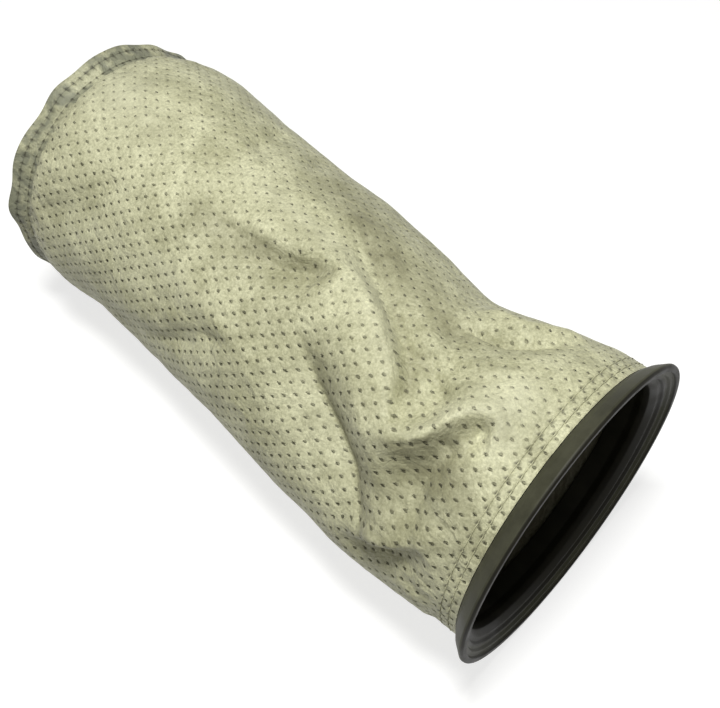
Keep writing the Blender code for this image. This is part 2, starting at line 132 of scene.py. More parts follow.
# Folds: each is a line of points (distance behind the collar's face, degrees round
# the bag from +Y over the top, height, reach towards +Y or the far end, reach the
# other way); a point without reaches has those of the point before
FOLD_POWER = 1.6
FOLDS = filled({
    "v_crest": [(0.235, 107, 0.0, 0.01, 0.01), (0.2, 104, 0.0025, 0.014, 0.007),
        (0.175, 98, 0.0045, 0.012, 0.012), (0.15, 98.5, 0.006, 0.006, 0.022),
        (0.13, 104, 0.007, 0.005, 0.022), (0.11, 112, 0.008), (0.1, 117, 0.0085),
        (0.092, 123, 0.0095, 0.005, 0.02), (0.086, 129, 0.0105, 0.005, 0.018),
        (0.079, 132.5, 0.012, 0.007, 0.016), (0.07, 130.5, 0.0135, 0.008, 0.012),
        (0.065, 126, 0.013, 0.008, 0.01), (0.06, 119.5, 0.012, 0.008, 0.009),
        (0.055, 113, 0.01, 0.009, 0.009), (0.05, 110, 0.008, 0.01, 0.008),
        (0.044, 109, 0.0055, 0.01, 0.007), (0.038, 112, 0.0025, 0.008, 0.006),
        (0.034, 118, 0.0, 0.006, 0.006)],
    "left_of_v": [(0.185, 78, 0.0, 0.009, 0.006), (0.16, 87, -0.003, 0.011, 0.006),
        (0.14, 94, -0.005, 0.012, 0.005), (0.12, 102, -0.006, 0.011, 0.004),
        (0.107, 107, -0.0065, 0.008, 0.004), (0.096, 114.5, -0.0065, 0.006, 0.004),
        (0.09, 121, -0.0065, 0.005, 0.004), (0.085, 127.5, -0.004), (0.081, 130, 0.0, 0.004, 0.004)],
    "v_floor": [(0.098, 100, 0.0, 0.01, 0.01), (0.086, 106, -0.005, 0.012, 0.01),
        (0.077, 114, -0.006, 0.01, 0.01), (0.072, 121, -0.0035, 0.008, 0.008),
        (0.07, 126, 0.0, 0.006, 0.006)],
    "terrace_line": [(0.17, 122, 0.0, 0.012, 0.02), (0.155, 129, -0.004, 0.012, 0.026),
        (0.14, 137, -0.008, 0.014, 0.032), (0.131, 142, -0.01, 0.015, 0.034),
        (0.116, 149, -0.011, 0.016, 0.034), (0.101, 156, -0.0095, 0.016, 0.03),
        (0.084, 167, -0.0055, 0.014, 0.022), (0.072, 175, -0.002, 0.01, 0.016),
        (0.064, 182, 0.0, 0.01, 0.012)],
    "terrace_shoulder": [(0.15, 108, 0.0, 0.012, 0.012), (0.135, 115, 0.0025, 0.012, 0.014),
        (0.121, 123, 0.0045, 0.012, 0.015), (0.108, 131, 0.0055), (0.095, 139, 0.005, 0.01, 0.014),
        (0.084, 147, 0.0035, 0.01, 0.012), (0.074, 156, 0.0, 0.01, 0.01)],
    "pocket": [(0.041, 108, 0.0, 0.006, 0.006), (0.045, 115, -0.005), (0.05, 121, -0.008, 0.006, 0.008),
        (0.054, 128, -0.0105, 0.006, 0.011), (0.056, 135, -0.011, 0.007, 0.02),
        (0.056, 142, -0.01, 0.008, 0.026), (0.053, 150, -0.008), (0.05, 158, -0.005, 0.008, 0.022),
        (0.046, 166, 0.0, 0.008, 0.016)],
    "low_crest": [(0.092, 176, 0.0, 0.012, 0.008), (0.078, 174, 0.0035, 0.016, 0.007),
        (0.066, 169, 0.006, 0.016, 0.006), (0.055, 164, 0.0065, 0.014, 0.006),
        (0.045, 158, 0.005, 0.012, 0.006), (0.036, 154, 0.002, 0.01, 0.005),
        (0.031, 150, 0.0, 0.008, 0.005)],
    "low_valley": [(0.09, 190, 0.0, 0.008, 0.01), (0.072, 181, -0.005, 0.006, 0.012),
        (0.06, 175, -0.0075), (0.05, 169, -0.007), (0.041, 164, -0.004, 0.006, 0.01),
        (0.033, 161, 0.0, 0.005, 0.008)],
    "pinch": [(0.104, 96, 0.0, 0.01, 0.01), (0.092, 86, -0.006, 0.008, 0.014),
        (0.084, 79, -0.0075, 0.005, 0.014), (0.07, 77, -0.007, 0.005, 0.012),
        (0.058, 73, -0.0055, 0.006, 0.01), (0.048, 65, -0.003, 0.008, 0.008), (0.04, 56, 0.0)],
    "bulge_over_pinch": [(0.1, 62, 0.0, 0.01, 0.008), (0.084, 66, 0.0045, 0.012, 0.007),
        (0.068, 66, 0.005, 0.012, 0.008), (0.054, 58, 0.004), (0.04, 48, 0.0, 0.01, 0.008)],
    "middle_valley": [(0.25, 119, 0.0, 0.008, 0.012), (0.232, 117, -0.0025, 0.009, 0.014),
        (0.21, 114, -0.0038, 0.007, 0.014), (0.19, 110, -0.0048, 0.005, 0.014),
        (0.177, 105.5, -0.005, 0.004, 0.013), (0.168, 102.5, -0.0035, 0.004, 0.012),
        (0.158, 102, 0.0, 0.004, 0.01)],
    "far_dimple": [(0.282, 44, 0.0, 0.009, 0.006), (0.273, 60, -0.003, 0.01, 0.006),
        (0.268, 72, -0.0032, 0.01, 0.005), (0.261, 83, 0.0, 0.008, 0.005)],
    "far_ripple": [(0.25, 40, 0.0, 0.008, 0.006), (0.24, 56, -0.0022, 0.009, 0.006),
        (0.228, 70, -0.0015), (0.215, 80, 0.0, 0.008, 0.006)],
    "shoulder_valley": [(0.378, 163, 0.0, 0.008, 0.01), (0.362, 155, -0.0028, 0.008, 0.011),
        (0.342, 146, -0.0032), (0.325, 133, -0.0022, 0.008, 0.01), (0.305, 122, 0.0)],
    "side_valley": [(0.31, 190, 0.0, 0.01, 0.012), (0.28, 182, -0.0025, 0.01, 0.014),
        (0.255, 175, -0.0035, 0.009, 0.013), (0.232, 164, -0.0035, 0.008, 0.012),
        (0.213, 155, -0.0028, 0.007, 0.01), (0.196, 147, 0.0, 0.006, 0.008)],
    "side_ridge": [(0.262, 138, 0.0, 0.011, 0.011), (0.235, 141, 0.0022, 0.012, 0.011),
        (0.21, 144, 0.003, 0.012, 0.01), (0.185, 146, 0.002, 0.012, 0.012), (0.16, 150, 0.0)],
    "far_side_hollow": [(0.215, -18, 0.0, 0.02, 0.02), (0.17, -2, -0.004), (0.12, 10, -0.006),
        (0.08, 24, 0.0)],
    "far_side_fold": [(0.12, -40, 0.0, 0.01, 0.012), (0.09, -26, 0.004), (0.06, -18, 0.004),
        (0.036, -10, 0.0)],
})

# Creases laid over the folds, in the same form; this finer mesh carries them alone
CREASE_POWER = 1.1
CREASES = filled({
    "middle_fold": [(0.285, 116, 0.0, 0.008, 0.014), (0.26, 113, -0.0022, 0.008, 0.018),
        (0.225, 110, -0.0044, 0.005, 0.02), (0.2, 107.5, -0.0058, 0.004, 0.018),
        (0.18, 103.5, -0.0054, 0.004, 0.014), (0.163, 100.5, 0.0, 0.004, 0.01)],
    "level_crease": [(0.222, 157, 0.0, 0.008, 0.004), (0.2, 149, -0.0022, 0.01, 0.005),
        (0.178, 138, -0.0022), (0.16, 131, 0.0, 0.008, 0.004)],
    "second_crease": [(0.106, 106, 0.0, 0.003, 0.003), (0.095, 107.5, -0.002, 0.0026, 0.0024),
        (0.085, 108.5, -0.0024), (0.078, 110.5, -0.0022), (0.072, 113.5, -0.0018), (0.066, 118, 0.0)],
    "second_crest": [(0.103, 109, 0.0, 0.0026, 0.004), (0.09, 111, 0.0014, 0.0026, 0.0045),
        (0.08, 113.5, 0.0014), (0.072, 117, 0.0, 0.0026, 0.004)],
    "crescent_1": [(0.094, 88, 0.0, 0.003, 0.003), (0.086, 97, -0.0014), (0.078, 102, -0.0016),
        (0.069, 103.5, -0.0016), (0.06, 101, -0.0014), (0.052, 95, -0.0012), (0.046, 87, 0.0)],
    "crescent_2": [(0.098, 91, 0.0, 0.003, 0.003), (0.089, 101, 0.001), (0.079, 106, 0.0013),
        (0.068, 107.5, 0.0013), (0.058, 105, 0.001), (0.05, 99, 0.0)],
    "crescent_3": [(0.088, 86, 0.0, 0.003, 0.003), (0.082, 92, 0.0012), (0.073, 97, 0.0014),
        (0.064, 96.5, 0.0012), (0.056, 91, 0.0)],
    "terrace_crease": [(0.164, 125, 0.0, 0.005, 0.01), (0.15, 132, -0.0026, 0.006, 0.014),
        (0.131, 142, -0.0044, 0.007, 0.016), (0.116, 149, -0.0052), (0.101, 156, -0.0054, 0.007, 0.014),
        (0.084, 167, -0.0042, 0.007, 0.012), (0.072, 175, 0.0, 0.005, 0.008)],
    "pocket_ridge": [(0.049, 117, 0.0, 0.003, 0.004), (0.0515, 123, 0.0022), (0.053, 130, 0.0028),
        (0.052, 139, 0.0024), (0.0495, 147, 0.0012), (0.047, 153, 0.0)],
    "nose_outline": [(0.044, 106, 0.0, 0.0028, 0.003), (0.039, 110, 0.0016), (0.0355, 117, 0.0018),
        (0.034, 126, 0.0014), (0.033, 136, 0.0)],
    "collar_crease": [(0.047, 90, 0.0, 0.0026, 0.0026), (0.049, 96, -0.0014), (0.0515, 102, -0.0014),
        (0.055, 108, 0.0)],
    "pinch_bump_1": [(0.091, 81, 0.0, 0.0035, 0.0035), (0.088, 83.5, 0.0026), (0.086, 87, 0.0)],
    "pinch_bump_2": [(0.085, 81.5, 0.0, 0.003, 0.003), (0.083, 84, 0.002), (0.081, 87, 0.0)],
    "pinch_crease": [(0.093, 78.5, 0.0, 0.0026, 0.0026), (0.082, 79, -0.0018), (0.07, 77.5, -0.002),
        (0.058, 72, -0.0018), (0.048, 64, 0.0)],
    "valley_line": [(0.176, 105, 0.0, 0.003, 0.003), (0.187, 108.5, -0.0016), (0.2, 112.5, -0.001),
        (0.215, 115, 0.0)],
    "side_crease_1": [(0.245, 166, 0.0, 0.003, 0.003), (0.228, 158, -0.0014), (0.212, 152, -0.0012),
        (0.2, 148, 0.0)],
    "side_crease_2": [(0.262, 178, 0.0, 0.003, 0.003), (0.244, 170, -0.0014), (0.226, 163, -0.0014),
        (0.208, 157, 0.0)],
    "shoulder_crease": [(0.356, 147, 0.0, 0.003, 0.003), (0.34, 139, -0.0014), (0.324, 128, -0.0012),
        (0.312, 121, 0.0)],
    "top_crease": [(0.356, 112, 0.0, 0.003, 0.004), (0.345, 106, 0.0009), (0.33, 97, 0.0011),
        (0.314, 87, 0.0)],
    "middle_crease": [(0.27, 106, 0.0, 0.003, 0.004), (0.262, 100, 0.0009), (0.252, 93, 0.0009),
        (0.244, 87, 0.0)],
})

# Painted shade in the folds, hollows and turned-away sides (above 0) and painted light on
# crests and lit sides (below 0), in the same form as the folds, with the amount in place of the height
PAINTED_SHADING_POWER = 1.2
PAINTED_SHADING = filled({
    "terrace_wall": [(0.166, 124, 0.0, 0.018, 0.0018), (0.15, 132, 0.55, 0.022, 0.0018),
        (0.131, 142, 0.95, 0.026, 0.0012), (0.116, 149, 1.1, 0.028, 0.0012), (0.101, 156, 1.15),
        (0.084, 167, 1.05, 0.03, 0.0012), (0.072, 175, 0.85, 0.026, 0.0018),
        (0.06, 180, 0.0, 0.02, 0.004)],
    "terrace_edge": [(0.164, 126, 0.0, 0.001, 0.01), (0.131, 143.5, -0.5, 0.001, 0.016),
        (0.101, 157.5, -0.5, 0.001, 0.014), (0.08, 171, 0.0, 0.001, 0.008)],
    "pocket": [(0.084, 136, 0.3, 0.0016, 0.014), (0.075, 134.5, 0.6, 0.0016, 0.026),
        (0.068, 131.5, 1.1, 0.0014, 0.034), (0.063, 126, 1.3, 0.0014, 0.036),
        (0.058, 119.5, 1.1, 0.0014, 0.026), (0.051, 113.5, 0.7, 0.0014, 0.012),
        (0.045, 112, 0.0, 0.0014, 0.005)],
    "middle": [(0.285, 116, 0.0, 0.004, 0.018), (0.26, 113, 0.5, 0.004, 0.02),
        (0.225, 110, 0.85, 0.003, 0.02), (0.2, 107.5, 1.0, 0.0025, 0.018),
        (0.18, 103.5, 1.0, 0.002, 0.014), (0.166, 101, 0.6, 0.002, 0.008),
        (0.155, 101, 0.0, 0.003, 0.006)],
    "left_of_v": [(0.2, 70, 0.0, 0.012, 0.002), (0.18, 76, 0.5, 0.012, 0.0016),
        (0.16, 84, 0.8, 0.012, 0.0014), (0.14, 92, 0.8, 0.01, 0.0014), (0.12, 100, 0.8, 0.008, 0.0014),
        (0.105, 107, 0.8, 0.006, 0.0014), (0.094, 116, 0.8, 0.005, 0.0014),
        (0.086, 126, 0.0, 0.004, 0.0014)],
    "flank": [(0.28, 60, 0.0, 0.03, 0.014), (0.215, 68, 0.6, 0.034, 0.014),
        (0.17, 74, 0.8, 0.034, 0.012), (0.13, 82, 0.8, 0.026, 0.01), (0.1, 88, 0.6, 0.022, 0.008),
        (0.08, 86, 0.0, 0.014, 0.008)],
    "second": [(0.11, 104, 0.0, 0.004, 0.0012), (0.095, 107.5, 0.6, 0.005, 0.0012), (0.08, 110, 0.6),
        (0.068, 115, 0.0, 0.004, 0.0012)],
    "level_crease": [(0.222, 157, 0.0, 0.012, 0.002), (0.2, 149, 0.45, 0.016, 0.0018),
        (0.178, 138, 0.45, 0.014, 0.0018), (0.16, 131, 0.0, 0.01, 0.002)],
    "pinch": [(0.108, 98, 0.0, 0.008, 0.008), (0.092, 86, 0.45, 0.008, 0.01),
        (0.082, 80, 0.6, 0.006, 0.01), (0.062, 76, 0.4, 0.005, 0.01), (0.045, 66, 0.0, 0.006, 0.008)],
    "low_hollow": [(0.09, 188, 0.3, 0.01, 0.012), (0.07, 177, 0.9, 0.007, 0.014),
        (0.055, 168, 1.0, 0.005, 0.013), (0.042, 163, 0.8, 0.004, 0.01),
        (0.033, 160, 0.0, 0.004, 0.008)],
    "shoulder": [(0.384, 166, 0.5, 0.012, 0.016), (0.362, 156, 0.35, 0.01, 0.014),
        (0.34, 145, 0.0, 0.008, 0.012)],
    "long_crest": [(0.27, 88, 0.0, 0.01, 0.01), (0.24, 90, -0.45, 0.009, 0.01),
        (0.19, 91, -0.5, 0.008, 0.01), (0.16, 91, -0.5, 0.006, 0.01), (0.14, 96, -0.6, 0.004, 0.012),
        (0.12, 105, -0.6, 0.003, 0.012), (0.102, 115, -0.6, 0.003, 0.01),
        (0.089, 127, -0.4, 0.003, 0.008)],
    "nose_crest": [(0.086, 132, -0.3, 0.004, 0.001), (0.07, 130, -0.7, 0.005, 0.001),
        (0.058, 117, -0.7), (0.046, 109, -0.4)],
    "side_crest": [(0.29, 141, 0.0, 0.008, 0.008), (0.26, 140, -0.45, 0.009, 0.009),
        (0.2, 140, -0.45, 0.01, 0.01), (0.165, 134, 0.0, 0.008, 0.01)],
    "by_collar": [(0.046, 84, 0.0, 0.01, 0.01), (0.042, 98, -1.0, 0.012, 0.016),
        (0.036, 112, -0.8, 0.008, 0.012), (0.034, 126, 0.0, 0.006, 0.006)],
    "far_top": [(0.384, 88, -0.5, 0.022, 0.022), (0.36, 96, -0.8, 0.026, 0.024),
        (0.32, 98, -0.4, 0.018, 0.018), (0.29, 98, 0.0, 0.014, 0.014)],
})

# Dots fainter and smaller on the upper far side: its middle angle, where full, where none, share
FAINT_DOTS = (62.0, 36.0, 66.0, 0.55)
FAINT_DOT_SHRINK = 0.00030  # how much smaller their dark spots are

# Fine unevenness: (height, size along the bag, size round it, seed), and where it applies
BROAD_WAVES = (0.0015, 0.045, 0.045, 3.0)
SMALL_WAVES = (0.0006, 0.016, 0.012, 8.0)
GATHERS = (0.0015, 0.035, 0.0065, 5.0)  # drawn in by the hem
PUCKERS = (0.0013, 0.030, 0.0085, 13.0)  # drawn in by the end seam
CRUMPLE = (0.0009, 0.010, 0.007, 21.0)  # round the pinch
CRUMPLED = (0.078, 0.030, 92.0, 24.0)  # its middle and reach, depth then degrees
GATHER_FULL = 0.004  # full this far behind the hem
GATHER_FADE = (0.038, 0.056)  # depths between which they fade
GATHER_SIDE = (140.0, 160.0, 200.0, 220.0)  # angles where they come in, then fade
GATHER_REST = 0.45  # share of them elsewhere
PUCKER_START = 0.034  # this and the next two are distances in front of the end seam
PUCKER_FULL = 0.006
PUCKER_STOP = 0.003
SEAM_CALM = 0.012  # no other relief this close to the end seam
NEAR_FLOOR = (0.004, 0.030)  # heights between which the relief comes in

# Embossed dots: staggered rows across the bag
DOT_ROW = 0.00545  # spacing of the rows along the bag
DOT_PAIRS = 64  # dots in each row round the bag
ROW_MERGE = 0.0002  # rings of the mesh closer than this become one
DOT_DEPTH = 0.0009
DOT_LIP = 0.00012  # cloth raised round each dot
DOT_EDGE = 0.27  # where a dot's edge lies in its cell, as a share
FRACTIONS = (DOT_EDGE, 0.5, 1 - DOT_EDGE)
MEAN_RADIUS = 0.0855  # of the dotted cloth
DOT_STEP = 2 * math.pi * MEAN_RADIUS / (2 * DOT_PAIRS)  # half a pair, round the bag
DOT_RADIUS = 0.00098
DOT_FLOOR = 0.00020  # radius of a dot's flat floor
DOT_BUMP = 0.0012
DOT_SQUEEZE = 0.58  # a dot's width over its length along the bag
DOT_RAGGED = 0.0007
DOT_COLOUR = (0.120, 0.116, 0.058)
CLOTH_DARK = (0.36, 0.355, 0.215)
CLOTH_LIGHT = (0.60, 0.595, 0.40)
# Painted shade in the folds and painted light on the crests
PAINTED_SHADE_COLOUR = (0.160, 0.152, 0.085)
PAINTED_SHADE_SHARE = 0.70  # how much of the painted shade's colour shows at its strongest
PAINTED_LIGHT_COLOUR = (0.70, 0.695, 0.50)
PAINTED_LIGHT_SHARE = 0.50
# Painted shade on the lip
LIP_SHADE_COLOUR = (0.200, 0.205, 0.140)
LIP_FADE = (-0.25, 0.15)  # rows of dots from the seam, between which the lip's painted shade and worn dots come in
LIP_WORN = 0.8  # share of the dots' shade that is gone on the lip
# Painted shade on the bag's inside
PAINTED_INSIDE_SHADE = (0.075, 0.068, 0.042)
PAINTED_INSIDE_SHADE_SHARE = 0.9
LIP_ROW = (SEAM - BAND_DEPTH - GAP) / DOT_ROW  # rows of dots before the end seam
PANEL_COLUMNS = 192  # of the end panel's rim
PANEL_RIM_RINGS = 8
PANEL_MARGIN = 0.002  # between its outermost dots and its seam
SAME_POINT = 1e-6  # points this close are joined
PANEL_PUCKERS = 17
PANEL_PUCKER = 0.0009  # their height
INNER_STRIDE = 4  # columns of the outside for each column of the inside
INNER_ROW = 0.0055  # ring spacing of the cloth's inside

# Stitching
STITCH_ROWS = (0.0163, 0.0215)  # the two rows behind the collar
STITCH_STRIDE = 6  # columns from one needle hole to the next
GROOVE_DEPTH = 0.00045
GROOVE_WIDTH = 0.0007
HOLE_DEPTH = 0.0011
GROOVE_DARK = 0.28  # painted shade in the groove between its holes
BESIDE_DARK = 0.55  # and beside a hole, along the row
ROUND_DARK = 0.75  # and across the row
SEAM_DARK = 0.75  # and in the end seam
THREAD = 0.00028  # radius of the thread
THREAD_SIDES = 2  # rounding steps across it
THREAD_RISE = 1.6  # how soon it is up again after a hole
THREAD_SUNK = 0.6  # share of its radius that lies in the cloth
LIP_ROWS = (0.0045, 0.0110)  # the two rows on the lip, from the end seam
LIP_STRIDE = 4
SEAM_RIDGES = [(-0.0032, 0.0), (-0.0018, 0.0007), (0.0, -0.0008), (0.0016, 0.0006)]
SEAM_BUMPS = (0.2, 1.6)  # least and most share of the ridges' height, stitch by stitch
SEAM_BUMPS_SEED = 4
RUFFLES = [(13, 1.1, 0.0008), (19, 2.3, 0.0004)]  # waves round the lip: count, start, height
RUFFLE_START = 0.002  # behind the end seam
# Painted shade of the needle holes, grooves and end seam
STITCH_SHADE_COLOUR = (0.030, 0.028, 0.016)


def smooth_value(stations, at):
    """Smooth curve through (position, value) stations, read at the positions given."""
    xs = np.array([station[0] for station in stations])
    ys = np.array([station[1] for station in stations])
    slopes = np.gradient(ys, xs)
    at = np.clip(np.asarray(at, float), xs[0], xs[-1])
    left = np.clip(np.searchsorted(xs, at, side="right") - 1, 0, len(xs) - 2)
    span = xs[left + 1] - xs[left]
    t = (at - xs[left]) / span
    start = (1 + 2 * t) * (1 - t) ** 2 * ys[left] + t * (1 - t) ** 2 * span * slopes[left]
    end = t * t * (3 - 2 * t) * ys[left + 1] + t * t * (t - 1) * span * slopes[left + 1]
    return start + end


def ramp(value, start, end):
    """Smooth step from 0 at start to 1 at end."""
    t = np.clip((value - start) / (end - start), 0.0, 1.0)
    return t * t * (3 - 2 * t)


def turn_from(angle, middle):
    """Signed degrees from one angle to another, the short way round."""
    return (angle - middle + 180.0) % 360.0 - 180.0


def fold_height(line, depth, angle, power=FOLD_POWER):
    """Height that one fold adds, from the distance to its line on the flat cloth."""
    best = np.full(depth.shape, 1e9)
    share = np.zeros(depth.shape)
    height = np.zeros(depth.shape)
    for (d0, a0, *start), (d1, a1, *end) in zip(line[:-1], line[1:]):
        run = np.array([d1 - d0, math.radians(a1 - a0) * HEM_RADIUS])
        along = depth - d0
        across = np.radians(turn_from(angle, a0)) * HEM_RADIUS
        t = np.clip((along * run[0] + across * run[1]) / (run @ run), 0.0, 1.0)
        distance = np.hypot(along - t * run[0], across - t * run[1])
        ease = t * t * (3 - 2 * t)
        top, reach_before, reach_after = (s + (e - s) * ease for s, e in zip(start, end))
        side = run[0] * across - run[1] * along
        reach = np.where(side > 0, reach_before, reach_after)
        near = distance < best
        best = np.where(near, distance, best)
        share = np.where(near, distance / reach, share)
        height = np.where(near, top, height)
    return height * np.exp(-share ** power)


def axis_share(depth):
    """0 as far as the hem's end, where the bag's axis leaves the collar's, then up to 1."""
    return np.clip((depth - HEM_END) / (BAG_LENGTH - HEM_END), 0.0, 1.0)


def centre_height(depth):
    """Height of the bag's axis above the floor."""
    start = COLLAR_RADIUS - COLLAR_PRESS
    return start + (END_CENTRE_HEIGHT - start) * axis_share(depth)


def end_profile(depth):
    """How far the end seam and its lip draw the cloth in."""
    rounding = np.clip((depth - (SEAM - SHOULDER)) / SHOULDER, 0.0, 1.0)
    shoulder = SEAM_DROP * (1 - np.sqrt(np.clip(1 - rounding ** 2, 0.0, 1.0)))
    return shoulder * (1 - ramp(depth, SEAM, BAG_LENGTH))


def cloth_radius(depth, angle):
    """Outside radius of the cloth tube, folds, sag and floor contact included."""
    turn = np.radians(angle)
    girth = smooth_value(GIRTH, depth)
    radius = girth + smooth_value(SWAY, depth) * np.cos(turn - math.radians(SWAY_ANGLE))
    for fold in FOLDS.values():
        radius = radius + fold_height(fold, depth, angle)
    free = ramp(depth, HEM_END, HEM_END + HEM_FREE)
    radius = HEM_RADIUS + (radius - HEM_RADIUS) * free
    bottom = girth + smooth_value(SWAY, depth) * math.cos(math.radians(270 - SWAY_ANGLE))
    sag = np.clip(centre_height(depth) + FLOOR_PRESS - bottom, 0.0, None)
    sag = sag * ramp(depth, SAG_START, SAG_END)
    radius = radius + sag * np.exp(-(turn_from(angle, 270.0) / SAG_SPREAD) ** 2)
    radius = radius - end_profile(depth)
    wave = np.sin(5 * turn + 0.6) + 0.6 * np.sin(11 * turn)
    radius = radius + LIP_WAVE * wave * ramp(depth, SEAM, BAG_LENGTH)
    half_flap = math.degrees(FLAP_WIDTH / 2 / HEM_RADIUS)
    on_flap = np.abs(turn_from(angle, FLAP_ANGLE)) < half_flap
    on_flap = on_flap & (depth > HEM_END) & (depth < SEAM)
    return radius + np.where(on_flap, CLOTH, 0.0)


def place(depth, angle, radius):
    """Points at these distances behind the collar, angles and radii, none below the floor."""
    turn = np.radians(angle)
    x = BAG_LENGTH / 2 - depth
    y = SIDE_SHIFT + END_SWAY * axis_share(depth) + radius * np.cos(turn)
    z = np.maximum(centre_height(depth) + radius * np.sin(turn), 0.0)
    return np.stack(np.broadcast_arrays(x, y, z), axis=-1)


def grid_normals(points):
    """Unit normals of a grid of points whose second direction closes on itself."""
    along = np.gradient(points, axis=0)
    round_it = np.roll(points, -1, axis=1) - np.roll(points, 1, axis=1)
    normal = np.cross(along, round_it)
    normal /= np.maximum(np.linalg.norm(normal, axis=-1, keepdims=True), 1e-12)
    return normal


def cloth_grid():
    """Rings and columns of the cloth's outside: depths, each ring's row of dots or -1, angles,
    whether a column runs through dots, and in which rows, even or odd."""
    start = BAND_DEPTH + GAP
    depths = []
    dot_rows = []
    row = 0
    while start + (row + 1) * DOT_ROW < BAG_LENGTH:
        for share in FRACTIONS:
            depths.append(start + (row + share) * DOT_ROW)
            dot_rows.append(row if share == 0.5 else -1)
        row += 1
    extra = [start, SEAM, BAG_LENGTH]
    for stitch in [*STITCH_ROWS, *[SEAM + row for row in LIP_ROWS]]:
        extra += [stitch - GROOVE_WIDTH, stitch, stitch + GROOVE_WIDTH]
    extra += [SEAM + ridge[0] for ridge in SEAM_RIDGES if ridge[0]]
    depths += extra
    dot_rows += [-1] * len(extra)
    order = np.argsort(depths)
    depths = np.array(depths)[order]
    dot_rows = np.array(dot_rows)[order]
    keep = np.ones(len(depths), bool)
    for i in range(1, len(depths)):
        if depths[i] - depths[i - 1] < ROW_MERGE:
            keep[i if dot_rows[i] < 0 else i - 1] = False
    cells = np.arange(2 * DOT_PAIRS)
    columns = (cells[:, None] + np.array(FRACTIONS)[None, :]).ravel() / (2 * DOT_PAIRS) * 360.0
    centre = np.tile([False, True, False], 2 * DOT_PAIRS)
    parity = np.repeat(cells % 2, 3)
    return depths[keep], dot_rows[keep], columns, centre, parity


def add_object(name, data):
    """New object in the scene."""
    thing = bpy.data.objects.new(name, data)
    bpy.context.scene.collection.objects.link(thing)
    return thing


def mesh_piece(name, points, faces, material, lattice=None):
    """Smooth-shaded mesh object; lattice gives each face corner its place in the dot cells."""
    data = bpy.data.meshes.new(name)
    data.from_pydata([tuple(p) for p in points], [], faces)
    if lattice is not None:
        layer = data.attributes.new("lattice", "FLOAT_VECTOR", "CORNER")
        layer.data.foreach_set("vector", np.asarray(lattice, np.float32).ravel())
    data.shade_smooth()
    data.materials.append(material)
    return add_object(name, data)


def band(first, second, count, inward=False):
    """Faces that join two closed rings of points, each given by the number of its first."""
    faces = []
    for j in range(count):
        k = (j + 1) % count
        far = [second + k, second + j]
        faces.append([first + j, *far[::-1], first + k] if inward else [first + j, first + k, *far])
    return faces


def ring_at(depths, depth):
    """Number of the ring nearest to a depth."""
    return int(np.argmin(np.abs(depths - depth)))


def waves(depth, angle, kind):
    """Smooth noise of the kind's height, drawn out along the bag and round it as it says."""
    height, along, across, seed = kind
    turn = np.radians(angle)
    spots = np.stack([depth / along + seed, HEM_RADIUS / across * np.cos(turn) - seed,
                      HEM_RADIUS / across * np.sin(turn) + 2 * seed], axis=-1)
    values = [noise.noise(Vector(spot)) for spot in spots.reshape(-1, 3)]
    return height * np.array(values).reshape(depth.shape)


def lip_ruffle(depth, angle):
    """Small waves of the raw edge, shared by the tube and the panel's rim."""
    waved = sum(height * np.sin(count * np.radians(angle) + start) for count, start, height in RUFFLES)
    return waved * ramp(depth, SEAM + RUFFLE_START, BAG_LENGTH)


def fine_relief(depth, angle):
    """Creases, gathers and unevenness too fine for the construction model."""
    relief = waves(depth, angle, BROAD_WAVES) + waves(depth, angle, SMALL_WAVES)
    for line in CREASES.values():
        relief = relief + fold_height(line, depth, angle, CREASE_POWER)
    middle, reach, middle_angle, reach_angle = CRUMPLED
    near = np.hypot((depth - middle) / reach, turn_from(angle, middle_angle) / reach_angle)
    relief = relief + waves(depth, angle, CRUMPLE) * np.exp(-near ** 2)
    low_side = ramp(angle, *GATHER_SIDE[:2]) * (1 - ramp(angle, *GATHER_SIDE[2:]))
    strength = GATHER_REST + (1 - GATHER_REST) * low_side
    by_hem = ramp(depth, HEM_END, HEM_END + GATHER_FULL) * (1 - ramp(depth, *GATHER_FADE))
    gathers = waves(depth, angle, GATHERS) * by_hem * strength
    free = ramp(depth, HEM_END, HEM_END + HEM_FREE) * (1 - ramp(depth, SEAM - SEAM_CALM, SEAM))
    by_seam = ramp(depth, SEAM - PUCKER_START, SEAM - PUCKER_FULL)
    by_seam = by_seam * (1 - ramp(depth, SEAM - PUCKER_STOP, SEAM))
    puckers = waves(depth, angle, PUCKERS) * by_seam
    return relief * free + gathers + puckers


def painted_shading_level(depth, angle):
    """Painted shade in the folds above 0, painted light on the crests below 0, from -1 to 1."""
    level = sum(fold_height(line, depth, angle, PAINTED_SHADING_POWER) for line in PAINTED_SHADING.values())
    return np.clip(level, -1.0, 1.0)


def lowest_near(radius, depths):
    """Smallest radius within one inside facet of each point, so the inside never shows."""
    lowest = radius.copy()
    result = radius.copy()
    for shift in range(-INNER_STRIDE, INNER_STRIDE + 1):
        lowest = np.minimum(lowest, np.roll(radius, shift, axis=1))
    for i, depth in enumerate(depths):
        near = np.abs(depths - depth) < INNER_ROW
        if HEM_END < depth < SEAM:
            result[i] = lowest[near].min(axis=0)
    return result


def dot_relief(dot_rows, centre, parity):
    """Height of the embossing at each point of the cloth's grid."""
    pit = np.zeros((len(dot_rows), len(centre)))
    for i in np.flatnonzero(dot_rows >= 0):
        pit[i, centre & (parity == dot_rows[i] % 2)] = 1.0
    around = pit
    for shift in product((-1, 0, 1), repeat=2):
        around = np.maximum(around, np.roll(pit, shift, axis=(0, 1)))
    return np.where(pit > 0, -DOT_DEPTH, DOT_LIP * around)


